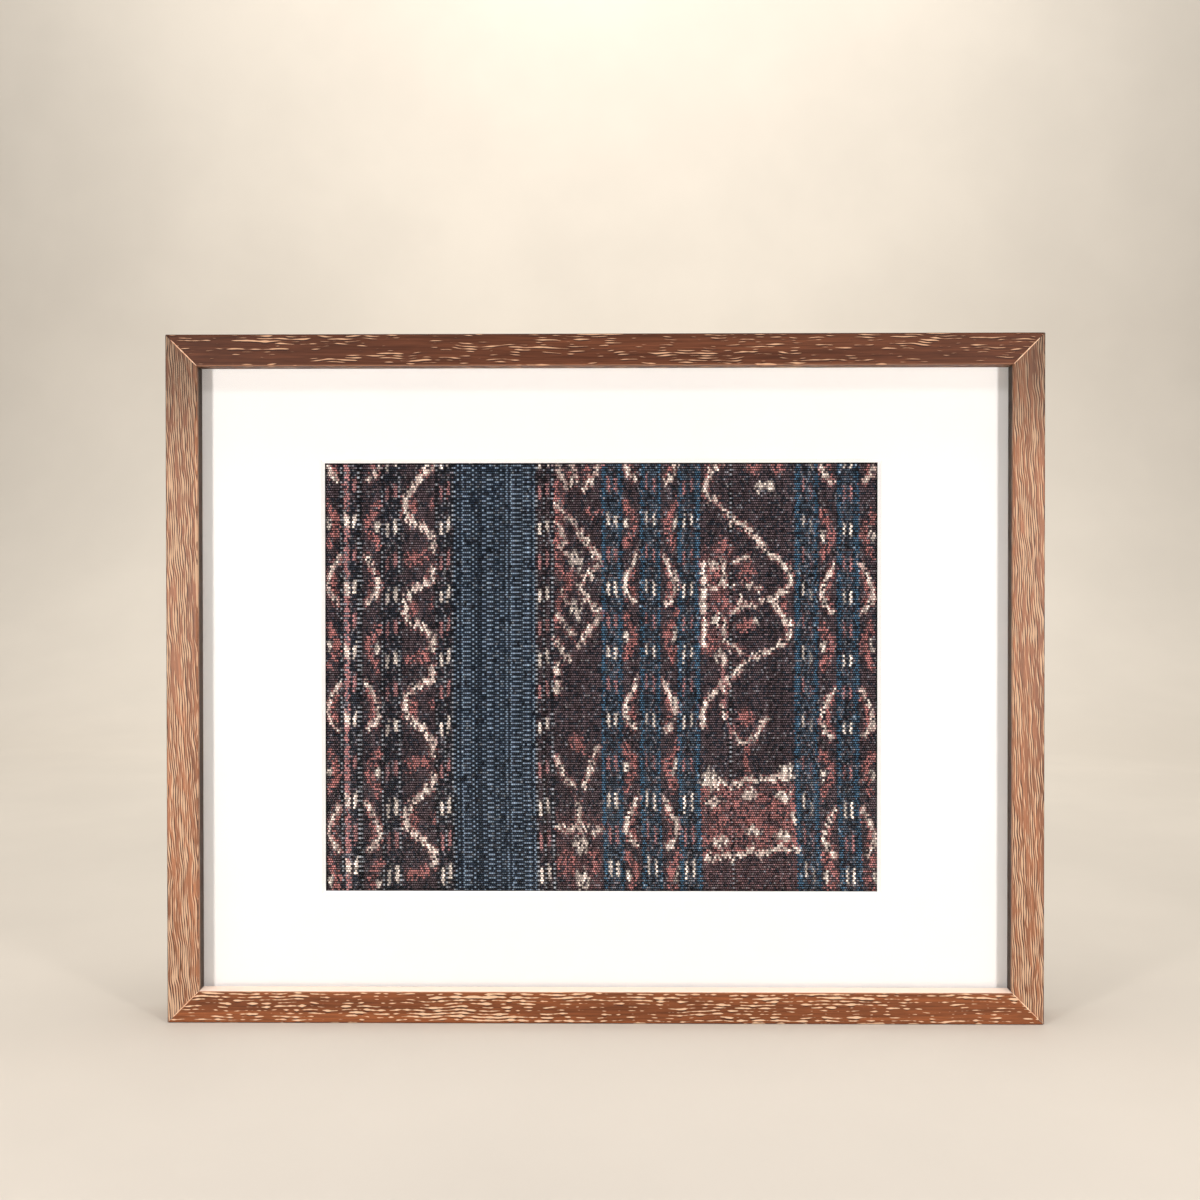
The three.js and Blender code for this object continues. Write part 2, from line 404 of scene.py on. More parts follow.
def outer_mask(tree, place):
    """1 on the outer third of the moulding and 0 on its inner part, by the distance from the middle."""
    parts = axes(tree, place)
    middle = (CAD_LOW + CAD_HIGH) / 2
    half = (CAD_HIGH - CAD_LOW) / 2
    across = maths(tree, "SUBTRACT", maths(tree, "ABSOLUTE", parts[0]), half.x - OUTER_BAND)
    height = maths(tree, "ABSOLUTE", maths(tree, "SUBTRACT", parts[2], middle.z))
    up = maths(tree, "SUBTRACT", height, half.z - OUTER_BAND)
    return maths(tree, "GREATER_THAN", maths(tree, "MAXIMUM", across, up), 0.0)


# How a rail's wood looks: the shares, the length and the row pitch of its pores, the wear and painted
# highlight of its inner edge, the painted highlight on a face that looks up, its gloss and its painted
# shade near the frame's top.
OakLook = namedtuple("OakLook", "pore_share dark_share pore_length row_pitch wear sill gloss shade")
TOP_LOOK = OakLook(0.4, 0.46, 0.9, 1.35 * MM, wear=0.6, sill=0.0, gloss=0.2, shade=1.0)
BOTTOM_LOOK = OakLook(0.68, 0.34, 0.5, 1.8 * MM, wear=0.8, sill=0.95, gloss=0.25, shade=1.0)
SIDE_LOOK = OakLook(0.92, 0.72, 1.1, 1.2 * MM, wear=0.3, sill=0.0, gloss=0.35, shade=0.5)


def oak_material(name, settings, stain, pores, upright, look, start):
    """Oak with its grain along the rail. start moves the rail along the plank."""
    material, tree, shader = bare_material(name, stain)
    place = object_place(tree)
    turn = math.pi / 2 + GRAIN_SLANT if upright else 0
    turned = add_node(
        tree, "ShaderNodeMapping", {"Vector": place, "Rotation": (0, turn, 0), "Location": start}
    )
    slanted = slanted_mask(tree)
    outer = outer_mask(tree, place)
    normal = add_node(tree, "ShaderNodeNewGeometry").outputs["True Normal"]
    facing = axes(tree, normal)
    upwards = spread(tree, facing[2], 0.9, 0.95)
    # Painted shade on the deep part of the side rails' faces that look sideways into the window.
    sideways = spread(tree, maths(tree, "ABSOLUTE", facing[0]), 0.9, 0.95)
    spot = axes(tree, place)
    deep = spread(tree, spot[1], CAD_LOW.y + 2 * MM, CAD_LOW.y + 3 * MM)
    inwards = maths(tree, "SUBTRACT", 1.0, outer)
    reveal_shade_mask = maths(tree, "MULTIPLY", maths(tree, "MULTIPLY", sideways, deep), inwards)
    inner = maths(tree, "MULTIPLY", slanted, inwards)
    made = placed_group(
        tree,
        group_named("Stained oak", oak_group),
        {
            "Vector": turned.outputs["Vector"],
            "Stain": stain,
            "Pores": pores,
            "Worn And Highlit": settings.worn,
            "Pore Share": look.pore_share,
            "Dark Share": look.dark_share,
            "Pore Length": look.pore_length,
            "Row Pitch": look.row_pitch,
            "Edge Wear And Highlight": maths(tree, "MULTIPLY", inner, look.wear),
            "Rim Shade": maths(tree, "MULTIPLY", slanted, outer),
        },
    )
    # Painted shade: the side rails darken towards the frame's top, and their inward faces darken in the
    # reveal.
    low, high = CAD_HIGH.z - SHADE_REACH, CAD_HIGH.z - SHADE_FULL
    # Painted highlight: faces that look up are made paler, on the bottom rail's lip.
    sill_highlight = blended(tree, maths(tree, "MULTIPLY", upwards, look.sill), made["Color"], settings.sill_highlight)
    painted_shade = maths(
        tree,
        "MULTIPLY",
        spread(tree, spot[2], low, high, 1.0, look.shade),
        spread(tree, reveal_shade_mask, 0.0, 1.0, 1.0, REVEAL_SHADE),
    )
    tree.links.new(vector_maths(tree, "MULTIPLY", sill_highlight, painted_shade), shader.inputs["Base Color"])
    tree.links.new(made["Roughness"], shader.inputs["Roughness"])
    shader.inputs["Specular IOR Level"].default_value = look.gloss
    raise_surface(tree, shader, made["Height"], 0.12 * MM)
    return material


def give_material(node_name, material):
    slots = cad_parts[node_name].data.materials
    slots.clear()
    slots.append(material)


def new_piece(name, vertices, faces, material):
    """A mesh piece that rides on the frame's body."""
    mesh = bpy.data.meshes.new(name)
    mesh.from_pydata([tuple(v) for v in vertices], [], [tuple(f) for f in faces])
    mesh.materials.append(material)
    mesh.validate()
    piece = bpy.data.objects.new(name, mesh)
    bpy.context.collection.objects.link(piece)
    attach(piece, BODY)
    return piece


def mitre_corners():
    """Each corner's name, its outer point on the front face, and the way along its mitre."""
    low, high = CAD_LOW, CAD_HIGH
    for across, x, way_x in (("left", low.x, 1), ("right", high.x, -1)):
        for up, z, way_z in (("top", high.z, -1), ("bottom", low.z, 1)):
            yield f"mitre_line_{up}_{across}", Vector((x, low.y, z)), Vector((way_x, 0, way_z))


class IKAT_OT_rails(bpy.types.Operator):
    """Stains the four oak rails and fills their mitres"""

    bl_idname = "ikat.rails"
    bl_label = "Oak rails"

    def execute(self, context):
        oak = context.scene.ikat_oak
        plans = {
            "rail_top": (oak.stain_top_and_shade, oak.pores, False, TOP_LOOK, (0.13, 0.02, 0.31)),
            "rail_bottom": (oak.stain_bottom, oak.bottom_pores, False, BOTTOM_LOOK, (0.71, 0.05, 0.02)),
            "rail_left": (oak.stain_sides, oak.faint_pores, True, SIDE_LOOK, (0.37, 0.09, 0.57)),
            "rail_right": (oak.stain_sides, oak.faint_pores, True, SIDE_LOOK, (0.93, 0.03, 0.83)),
        }
        for name, plan in plans.items():
            give_material(name, oak_material(f"Oak {name}", oak, *plan))
        self.fill_mitres(oak)
        return {"FINISHED"}

    def fill_mitres(self, oak):
        """Lays a thin, pale strip in each mitre, from the outer corner to the sight edge."""
        material, tree, shader = bare_material("Mitre filler", oak.filler)
        patchy = stretched_noise(tree, object_place(tree), (420, 420, 420), 3)
        colour = blended(tree, spread(tree, patchy, 0.3, 0.7), oak.filler, oak.worn)
        tree.links.new(colour, shader.inputs["Base Color"])
        tree.links.new(spread(tree, patchy, 0.3, 0.7, 0.5, 0.75), shader.inputs["Roughness"])
        proud, sunk = 0.03 * MM, 0.5 * MM
        start, end = 3.2 * MM, FACE_WIDTH - 0.4 * MM
        steps = 12
        for name, corner, way in mitre_corners():
            side = Vector((way.z, 0, -way.x)).normalized() * oak.filler_width / 2
            vertices, faces = [], []
            for i in range(steps + 1):
                middle = corner + way * (start + (end - start) * i / steps)
                narrow = 0.55 + 0.45 * math.sin(math.pi * i / steps) + 0.12 * math.sin(2.7 * i)
                for depth in (-proud, sunk):
                    for sign in (-1, 1):
                        vertices.append(middle + side * narrow * sign + Vector((0, depth, 0)))
            for i in range(steps):
                a, b = 4 * i, 4 * i + 4
                faces += [(a, a + 1, b + 1, b), (a + 2, b + 2, b + 3, a + 3)]
                faces += [(a, b, b + 2, a + 2), (a + 1, a + 3, b + 3, b + 1)]
            last = 4 * steps
            faces += [(0, 2, 3, 1), (last, last + 1, last + 3, last + 2)]
            piece = new_piece(name, vertices, faces, material)
            tidy_normals(piece)


def tidy_normals(piece):
    """Turns every face of a closed piece outwards."""
    work = bmesh.new()
    work.from_mesh(piece.data)
    bmesh.ops.recalc_face_normals(work, faces=work.faces)
    work.to_mesh(piece.data)
    work.free()


class IKAT_OT_pane(bpy.types.Operator):
    """Makes the pane clear, with a faint reflection"""

    bl_idname = "ikat.pane"
    bl_label = "Clear pane"

    def execute(self, context):
        material, tree, shader = bare_material("Picture glass", (0.95, 0.98, 0.97))
        shader.inputs["Base Color"].default_value = PANE_TINT
        shader.inputs["Roughness"].default_value = 0.0
        shader.inputs["IOR"].default_value = PANE_INDEX
        shader.inputs["Transmission Weight"].default_value = 1.0
        through = add_node(tree, "ShaderNodeBsdfTransparent", {"Color": PANE_TINT})
        rays = add_node(tree, "ShaderNodeLightPath").outputs
        lamp_ray = maths(tree, "MAXIMUM", rays["Is Shadow Ray"], rays["Is Diffuse Ray"])
        mixed = add_node(
            tree,
            "ShaderNodeMixShader",
            {0: lamp_ray, 1: shader.outputs["BSDF"], 2: through.outputs["BSDF"]},
        )
        output = next(n for n in tree.nodes if n.type == "OUTPUT_MATERIAL")
        tree.links.new(mixed.outputs["Shader"], output.inputs["Surface"])
        give_material("glazing", material)
        return {"FINISHED"}


class IKAT_OT_boards(bpy.types.Operator):
    """Finishes the window mat and the backing board"""

    bl_idname = "ikat.boards"
    bl_label = "Mat and backing"

    def execute(self, context):
        boards = context.scene.ikat_boards
        self.finish_mat(boards)
        self.finish_backing(boards)
        return {"FINISHED"}

    def finish_mat(self, boards):
        material, tree, shader = bare_material("Mat board", boards.mat_face)
        group = group_named("Board tooth", tooth_group)
        made = placed_group(tree, group, {"Vector": object_place(tree), "Grain": 1400.0})
        shade = spread(tree, made["Mottle"], 0.0, 1.0, 0.975, 1.0)
        face = vector_maths(tree, "MULTIPLY", tuple(boards.mat_face), shade)
        colour = blended(tree, slanted_mask(tree), face, boards.mat_core)
        tree.links.new(colour, shader.inputs["Base Color"])
        tree.links.new(spread(tree, made["Mottle"], 0.0, 1.0, 0.84, 0.94), shader.inputs["Roughness"])
        raise_surface(tree, shader, made["Height"], 0.04 * MM)
        give_material("mat", material)

    def finish_backing(self, boards):
        material, tree, shader = bare_material("Hardboard", boards.hardboard)
        place = object_place(tree)
        group = group_named("Board tooth", tooth_group)
        made = placed_group(tree, group, {"Vector": place, "Grain": 500.0})
        fibres = stretched_noise(tree, place, (220, 900, 700), 4, 0.65, 1.5)
        mixed = maths(tree, "MULTIPLY", made["Mottle"], spread(tree, fibres, 0.35, 0.65))
        dark = tuple(0.62 * value for value in boards.hardboard)
        light = tuple(1.22 * value for value in boards.hardboard)
        tree.links.new(blended(tree, mixed, dark, light), shader.inputs["Base Color"])
        tree.links.new(spread(tree, fibres, 0.3, 0.7, 0.5, 0.72), shader.inputs["Roughness"])
        raise_surface(tree, shader, made["Height"], 0.05 * MM)
        give_material("backing", material)


class IKAT_OT_points(bpy.types.Operator):
    """Plates the framer's points"""

    bl_idname = "ikat.points"
    bl_label = "Framer's points"

    def execute(self, context):
        zinc = context.scene.ikat_boards.zinc
        material, tree, shader = bare_material("Zinc plate", zinc)
        rolled = stretched_noise(tree, object_place(tree), (900, 900, 4000), 3)
        dull = tuple(0.6 * value for value in zinc)
        plated = blended(tree, spread(tree, rolled, 0.3, 0.7), dull, zinc)
        tree.links.new(plated, shader.inputs["Base Color"])
        tree.links.new(spread(tree, rolled, 0.3, 0.7, 0.25, 0.5), shader.inputs["Roughness"])
        shader.inputs["Metallic"].default_value = 1.0
        raise_surface(tree, shader, rolled, 0.01 * MM)
        for name in POINTS:
            give_material(name, material)
        return {"FINISHED"}


# The cloth's ground, stripe by stripe from the left: where each ends in millimetres, and its dye.
GROUNDS = (
    (7.4, "earth"),
    (10.6, "navy"),
    (13.8, "rose"),
    (21.0, "navy"),
    (31.3, "earth"),
    (43.2, "navy"),
    (61.3, "earth"),
    (71.9, "navy"),
    (117.7, "indigo"),
    (126.0, "earth"),
    (128.3, "navy"),
    (154.4, "earth"),
    (156.9, "teal"),
    (164.4, "slate"),
    (166.7, "teal"),
    (176.2, "earth"),
    (178.4, "teal"),
    (185.7, "slate"),
    (187.6, "teal"),
    (197.1, "earth"),
    (199.4, "teal"),
    (206.8, "slate"),
    (209.9, "teal"),
    (262.4, "earth"),
    (265.8, "teal"),
    (273.6, "slate"),
    (275.7, "teal"),
    (285.7, "earth"),
    (288.4, "teal"),
    (295.3, "slate"),
    (298.4, "teal"),
    (307.6, "earth"),
    (320.0, "navy"),
)

# The warp order of the blue band, one letter for each end: o is a pale end, and a dot an indigo one.
BLUE_BAND_START = 71.9
BLUE_BAND_ORDER = ".o..o...oo.o.o.o..o..o..o..o.o..o.o.o..o.o..o.o..oo..oo.o.o.o.o.oo.o.o.o..oo"

# Other yarns mixed into each ground: the share of floats that show each.
PEPPER = {
    "earth": (("navy", 0.22), ("ash", 0.04)),
    "navy": (("earth", 0.18), ("ash", 0.14)),
    "slate": (("navy", 0.26), ("earth", 0.12), ("ash", 0.12)),
    "teal": (("navy", 0.2), ("ash", 0.08), ("sky", 0.015)),
    "indigo": (("navy", 0.2),),
    "rose": (("navy", 0.1), ("ash", 0.25)),
}

# The share of floats that hold each dye where it is laid in a stroke or a spot.
DYE_HOLDS = {"cream": 0.84, "rust": 0.68, "rose": 0.75, "earth": 0.9}

# Single pale ends that show as beaded lines along the stripes, and how dark the ends beside them are.
BESIDE_BEADS = 0.35
BEADS = (9.0, 18.5, 20.0, 32.0, 41.5, 62.5, 67.0, 71.5, 118.5, 122.5, 127.0, 227.0)

# The dashed stripes: the middle and the width of each, and how far its dashes stand above the rows below.
DASHED = (
    (16.5, 2.4, 4.0),
    (35.0, 1.9, -1.5),
    (39.5, 2.5, 0.5),
    (65.0, 1.9, 0.0),
    (69.0, 1.9, 1.0),
    (120.0, 1.9, -1.0),
    (124.5, 1.9, 0.0),
    (158.5, 1.3, 3.5),
    (162.5, 1.9, 3.5),
    (180.0, 1.3, 4.5),
    (184.0, 1.3, 3.5),
    (201.0, 1.3, 2.0),
    (205.0, 1.3, 3.0),
    (267.5, 1.3, 1.5),
    (271.5, 1.3, -0.5),
    (290.0, 1.3, -1.0),
    (294.0, 1.3, -2.0),
)
CREAM_ROWS = (-1.5, 35.5, 73.5, 109, 147, 192.5, 230)
ROSE_ROWS = (15.5, 54.5, 91.5, 127, 171, 211)
DASH_ROWS = ((ROSE_ROWS, "rose", 3.8), (CREAM_ROWS, "cream", 3.3))  # with half the length of each dash
LONG_DASHES_FROM = 185  # the row below which the dashes are longer

# The stripe that stays pale all along, and how far its cream parts stand above the cream rows.
FADED_STRIPE = (10.6, 13.8)
FADED_ABOVE = 5.5

# The crescents and both lines of the rings: how far each stands off its axis from top to foot, half its
# height, and the width and the dye of its stroke.
Bow = namedtuple("Bow", "reach half_height width dye")
CRESCENT = Bow((14.2, 12.4, 9.6, 8.8, 9.8, 12.0, 13.4), 11.5, 4.6, "rust")
INNER_RING = Bow((8.4, 9.8, 11.0, 11.2, 9.6), 8.5, 3.4, "rust")
OUTER_RING = Bow((7.4, 9.8, 12.2, 13.9, 14.4, 12.4, 8.6), 13.2, 2.6, "cream")
CRESCENT_EYE = (13.6, 1.4, 2.8)  # its distance from the axis and its half sizes

# The ring columns: the axis between two half columns, the strength of the cream on its left and right
# sides, and the rows of its rings and crescents.
RING_AXES = (
    (15.5, (0.55, 0.8), (-3, 65, 136, 204), (34.5, 103, 173, 234.5)),
    (182.0, (1.0, 1.0), (-4, 64.5, 135, 200.5), (33, 96, 169.5, 230)),
    (292.0, (0.95, 0.9), (-1.5, 70.5, 140.5, 207), (40, 102.5, 174.5, 231.5)),
)

# The zigzag stripe: its left and right turns, and the rows at which it makes them.
ZIGZAG_LEFT, ZIGZAG_RIGHT = 45.0, 60.0
ZIGZAG_LEFT_ROWS = (24, 80.5, 136, 199.5)
ZIGZAG_RIGHT_ROWS = (52.5, 108, 168, 229.5)

# The chain band and the wide band: fields of loose dye (dye, share, left, right, top and foot), strokes
# (dye, width and the points of the path) and spots (dye, middle and half sizes).
FIELDS = (
    ("rust", 0.3, 128.5, 134.0, 10, 66),
    ("rust", 0.16, 128.5, 154.0, 196, 242),
    ("rust", 0.25, 210.5, 226.0, 46, 106),
    ("rust", 0.72, 210.0, 262.5, 180, 218),
    ("rust", 0.14, 210.0, 262.5, 222, 243),
)
CHAIN_STROKES = (
    ("rust", 3.0, ((130, 12), (130, 34))),
    ("rust", 3.0, ((130, 40), (130.5, 60), (137, 68), (131, 76), (130, 92))),
    ("cream", 3.0, ((130, 0), (131.5, 6), (135.5, 14))),
    ("cream", 3.0, ((136.5, -2), (140, 7), (137.5, 13))),
    ("cream", 2.6, ((153.5, 0), (149, 8), (144.5, 15))),
    ("rust", 3.4, ((147, 27), (154, 27))),
    ("cream", 3.0, ((129.5, 24), (137, 32.5), (142.5, 38.5), (147, 45), (153, 51.5))),
    ("cream", 3.0, ((153, 51.5), (153, 56.5), (142, 67.5), (144.5, 73.5), (153, 81.5))),
    ("cream", 3.0, ((153, 81.5), (153, 86.5), (148.5, 92), (142, 101.5))),
    ("cream", 2.6, ((130, 35), (134.5, 44))),
    ("cream", 2.0, ((131.5, 47), (136, 52.5))),
    ("cream", 2.0, ((132, 73), (135.5, 78.5))),
    ("cream", 2.6, ((130, 85.5), (136.5, 94.5), (142, 100.5))),
    ("cream", 2.6, ((129, 99.5), (131.5, 105.5), (137, 110.5))),
    ("cream", 2.8, ((130, 114), (130, 129))),
    ("cream", 2.4, ((130, 166), (133, 174.5), (139, 183))),
    ("cream", 2.4, ((152.5, 159), (149, 167.5), (145, 181))),
    ("cream", 3.2, ((141.5, 189), (141.5, 199))),
    ("cream", 3.2, ((129.5, 204), (135, 206), (142, 203.5), (153.5, 205))),
)
CHAIN_SPOTS = (
    ("rust", 137.5, 5.5, 2.2, 5.0),
    ("rust", 146.5, 6.0, 2.4, 4.6),
    ("rust", 137.0, 66.0, 3.0, 6.0),
    ("cream", 140.5, 55.0, 3.2, 4.6),
    ("earth", 140.5, 55.0, 1.2, 1.8),
    ("cream", 140.5, 82.5, 3.0, 4.2),
    ("earth", 141.5, 82.0, 1.0, 1.6),
    ("rust", 141.5, 157.5, 4.4, 5.4),
    ("cream", 142.0, 213.5, 3.6, 4.4),
    ("rust", 134.5, 225.0, 5.0, 7.0),
    ("rust", 149.5, 222.5, 3.6, 6.0),
    ("cream", 142.5, 233.5, 3.4, 5.0),
)
WIDE_STROKES = (
    ("cream", 2.6, ((222.5, 0), (216.5, 3), (213.5, 11), (212, 16), (214, 19.5), (218.5, 20))),
    ("cream", 2.8, ((221.5, 26), (230, 32), (240, 41), (248, 50.5), (257, 57), (260.5, 63.5))),
    ("cream", 2.8, ((260.5, 63.5), (260, 68.5), (251, 75.5), (252, 80.5), (260, 90.5))),
    ("cream", 2.8, ((260, 90.5), (259.5, 97.5), (249, 105), (236, 110.5), (227.5, 118.5))),
    ("cream", 2.8, ((227.5, 118.5), (217.5, 128), (211.5, 136), (211, 146))),
    ("cream", 2.4, ((223, 88), (223, 99), (233, 105))),
    ("rose", 3.2, ((222.5, 112), (223, 141), (230, 150.5))),
    ("cream", 2.6, ((222.5, 110), (222.5, 113.5))),
    ("cream", 2.6, ((223, 125), (223, 128))),
    ("cream", 2.6, ((222.5, 137), (223.5, 142))),
    ("cream", 2.2, ((223, 57), (223, 67.5))),
    ("cream", 2.0, ((215, 69), (228, 69))),
    ("cream", 2.2, ((232, 73.5), (232, 80.5), (228, 83))),
    ("cream", 2.2, ((232, 80.5), (239.5, 80.5), (245.5, 77), (251, 76))),
    ("cream", 2.2, ((234, 66.5), (236.5, 70), (243, 70.5))),
    ("cream", 2.0, ((228, 55.5), (232.5, 53), (236.5, 53.5))),
    ("cream", 2.8, ((211.5, 56), (211.5, 67))),
    ("cream", 2.8, ((211.5, 70), (211.5, 83))),
    ("cream", 2.8, ((212, 88), (212, 101))),
    ("cream", 2.2, ((228.5, 150), (232, 155.5), (235.5, 157.5), (240.5, 153.5), (246.5, 143.5))),
    ("rust", 3.2, ((236, 160), (236, 176))),
    ("cream", 3.0, ((218.5, 180), (234.5, 178), (256, 176))),
    (
        "cream",
        3.0,
        ((212.5, 220.5), (225, 219.5), (238, 217), (245, 219.5), (251.5, 214.5), (263.5, 216.5)),
    ),
)
WIDE_SPOTS = (
    ("rust", 214.0, 5.5, 1.6, 5.0),
    ("rust", 239.0, 3.0, 4.0, 3.4),
    ("rust", 253.0, 3.0, 3.2, 3.4),
    ("cream", 243.0, 13.5, 2.2, 2.6),
    ("cream", 248.5, 13.0, 2.2, 3.0),
    ("rust", 223.0, 47.5, 4.2, 4.6),
    ("cream", 217.5, 57.0, 3.4, 2.8),
    ("rust", 217.5, 62.0, 3.4, 4.2),
    ("rust", 236.0, 61.5, 4.4, 4.6),
    ("rust", 222.5, 78.5, 5.0, 4.6),
    ("rust", 256.5, 79.5, 2.2, 4.0),
    ("rust", 235.0, 91.0, 5.6, 3.4),
    ("cream", 241.0, 88.5, 1.6, 1.8),
    ("rust", 215.5, 101.5, 3.8, 5.0),
    ("cream", 221.0, 108.0, 3.0, 2.6),
    ("cream", 218.5, 87.5, 2.6, 2.4),
    ("rust", 235.0, 142.0, 4.6, 4.4),
    ("cream", 243.5, 147.0, 1.6, 2.2),
    ("cream", 215.0, 177.0, 4.2, 4.6),
    ("cream", 258.0, 173.0, 4.0, 4.0),
    ("cream", 237.0, 186.0, 3.6, 2.8),
    ("cream", 256.0, 186.0, 3.8, 2.8),
    ("cream", 217.0, 189.5, 4.2, 2.6),
    ("cream", 239.0, 206.5, 4.0, 2.2),
    ("cream", 255.5, 208.5, 4.2, 2.4),
    ("cream", 219.5, 211.5, 4.2, 2.2),
    ("cream", 261.5, 199.0, 1.4, 3.0),
    ("earth", 228.0, 196.0, 3.6, 2.8),
    ("earth", 250.0, 201.0, 3.2, 2.6),
    ("earth", 213.5, 199.5, 2.6, 4.0),
    ("earth", 244.5, 191.5, 3.0, 2.0),
    ("earth", 231.0, 213.0, 3.0, 2.0),
    ("earth", 247.0, 184.0, 2.6, 2.2),
)


def distance_to_path(u, v, path):
    """How far each place lies from a path of straight stretches."""
    best = np.full(u.shape, np.inf)
    for (u0, v0), (u1, v1) in zip(path[:-1], path[1:]):
        du, dv = u1 - u0, v1 - v0
        share = ((u - u0) * du + (v - v0) * dv) / (du * du + dv * dv)
        share = np.clip(share, 0, 1)
        best = np.minimum(best, np.hypot(u - u0 - share * du, v - v0 - share * dv))
    return best


def bowed_path(axis, row, side, bow):
    steps = np.linspace(-1, 1, len(bow.reach))
    return [(axis + side * reach, row + bow.half_height * step) for reach, step in zip(bow.reach, steps)]


# The slips of a hank of six ends and of a pair, as shares of the feather, and the fray of every edge of dye
# in millimetres.
HANK_SLIP, PAIR_SLIP = 0.45, 1.1
FRAY = 0.42


class DyedWarp:
    """The dye of every float of the warp, laid on in the order in which it is bound and dipped."""

    def __init__(self, end, end_u, v, settings):
        """end is each float's warp end, end_u its place across the cloth and v its place down the cloth."""
        draw = np.random.default_rng(settings.seed)
        ends = int(end.max()) + 1
        feather = settings.feather / MM
        hank = np.repeat(draw.normal(0, feather * HANK_SLIP, ends // 6 + 1), 6)[:ends]
        pair = np.repeat(draw.normal(0, feather * PAIR_SLIP, ends // 2 + 1), 2)[:ends]
        takes = np.repeat(draw.normal(0.82, 0.26, ends // 2 + 1), 2)[:ends] + draw.normal(0, 0.1, ends)
        self.u = end_u
        self.v0 = v
        self.v = v + (hank + pair)[end]
        self.pitch = float(np.diff(np.unique(end_u))[0])
        self.fray = draw.normal(0, FRAY, v.size)
        self.takes = np.clip(takes, 0.12, 1)[end] * np.clip(draw.normal(0.95, 0.16, v.size), 0.2, 1)
        self.first, self.second = draw.random((2, v.size))
        self.yarn = draw.normal(1, 0.2, ends)[end] * draw.normal(1, 0.3, v.size)
        self.dyes = {
            name: np.array(getattr(settings, name))
            for name in ("navy", "earth", "slate", "indigo", "teal", "sky", "ash", "rust", "rose", "cream")
        }
        self.colour = np.zeros((v.size, 3))

    def lay(self, share, dye):
        """Takes up a dye by a share from 0 to 1, less where an end or a float takes it badly."""
        share = (np.clip(share, 0, 1) * self.takes)[:, None]
        self.colour = self.colour * (1 - share) + self.dyes[dye] * share

    def ground(self):
        start = -np.inf
        for end, dye in GROUNDS:
            stripe = (self.u >= start) & (self.u < end)
            self.colour[stripe] = self.dyes[dye]
            low = 0.0
            for other, part in PEPPER[dye]:
                taken = stripe & (self.second >= low) & (self.second < low + part)
                self.colour[taken] = self.dyes[other]
                low += part
            start = end
        for bead in BEADS:
            beside = np.abs(np.abs(self.u - bead) - self.pitch) < self.pitch / 2
            self.colour[beside] *= BESIDE_BEADS
            line = (np.abs(self.u - bead) < self.pitch / 2) & (self.first < 0.7)
            self.colour[line] = 0.4 * self.dyes["sky"] + 0.12 * self.dyes["cream"]

    def blue_band(self):
        last = BLUE_BAND_START + len(BLUE_BAND_ORDER) * self.pitch
        inside = (self.u >= BLUE_BAND_START) & (self.u < last)
        pale = np.array([letter == "o" for letter in BLUE_BAND_ORDER])
        place = ((self.u - BLUE_BAND_START) / self.pitch).astype(int)
        shown = inside & pale[np.clip(place, 0, pale.size - 1)] & (self.first < 0.92)
        self.lay(shown * (0.5 + 0.35 * self.second), "sky")

    def dashes(self):
        for middle, width, above in DASHED:
            stripe = np.abs(self.u - middle) < width / 2
            for rows, dye, half in DASH_ROWS:
                for row in rows:
                    longer = 1.3 if row > LONG_DASHES_FROM else 1.0
                    away = np.abs(self.v - row + above) - half * longer - self.fray
                    self.lay(stripe * (0.5 - away), dye)

    def faded_stripe(self):
        """The stripe that stays pale all along, pink and cream by turns."""
        stripe = (self.u > FADED_STRIPE[0]) & (self.u < FADED_STRIPE[1])
        for row in CREAM_ROWS:
            away = np.abs(self.v - row + FADED_ABOVE) - 3.2
            self.lay(stripe * (0.5 - away / 3) * 0.8, "cream")

    def stroke(self, path, width, dye, share=1.0):
        away = distance_to_path(self.u, self.v, path) - width / 2 - self.fray
        if dye == "cream":
            self.lay((0.8 - away / 1.9) * (self.first < 0.62), "rust")
        self.lay((0.35 - away / 0.8) * (self.first < DYE_HOLDS[dye]) * share, dye)

    def spot(self, u, v, half_width, half_height, dye, share=1.0):
        reach = np.hypot((self.u - u) / half_width, (self.v - v) / half_height)
        self.lay((1.3 - reach + self.fray * 0.4) * 1.8 * (self.first < DYE_HOLDS[dye]) * share, dye)

    def fields(self):
        """Loose areas of dye, thicker in some patches than in others."""
        across = np.sin(self.u / 2.3 + 1.7 * np.sin(self.v / 5.1))
        clumps = across * np.sin(self.v / 1.9 + 1.3 * np.sin(self.u / 7.7))
        for dye, share, left, right, top, foot in FIELDS:
            inside = (self.u > left) & (self.u < right) & (self.v > top) & (self.v < foot)
            self.lay(inside * (self.first < 0.75) * share * np.clip(0.95 + 0.6 * clumps, 0.25, 1.3), dye)

    def bow(self, shape, axis, row, side, share=1.0):
        self.stroke(bowed_path(axis, row, side, shape), shape.width, shape.dye, share)

    def rings(self):
        reach, half_width, half_height = CRESCENT_EYE
        for axis, shares, ring_rows, rust_rows in RING_AXES:
            for side, share in zip((-1, 1), shares):
                for row in rust_rows:
                    self.bow(CRESCENT, axis, row, side)
                    self.spot(axis + side * reach, row, half_width, half_height, "cream")
                for row in ring_rows:
                    self.bow(INNER_RING, axis, row, side, 0.6)
                    self.bow(OUTER_RING, axis, row, side, share)

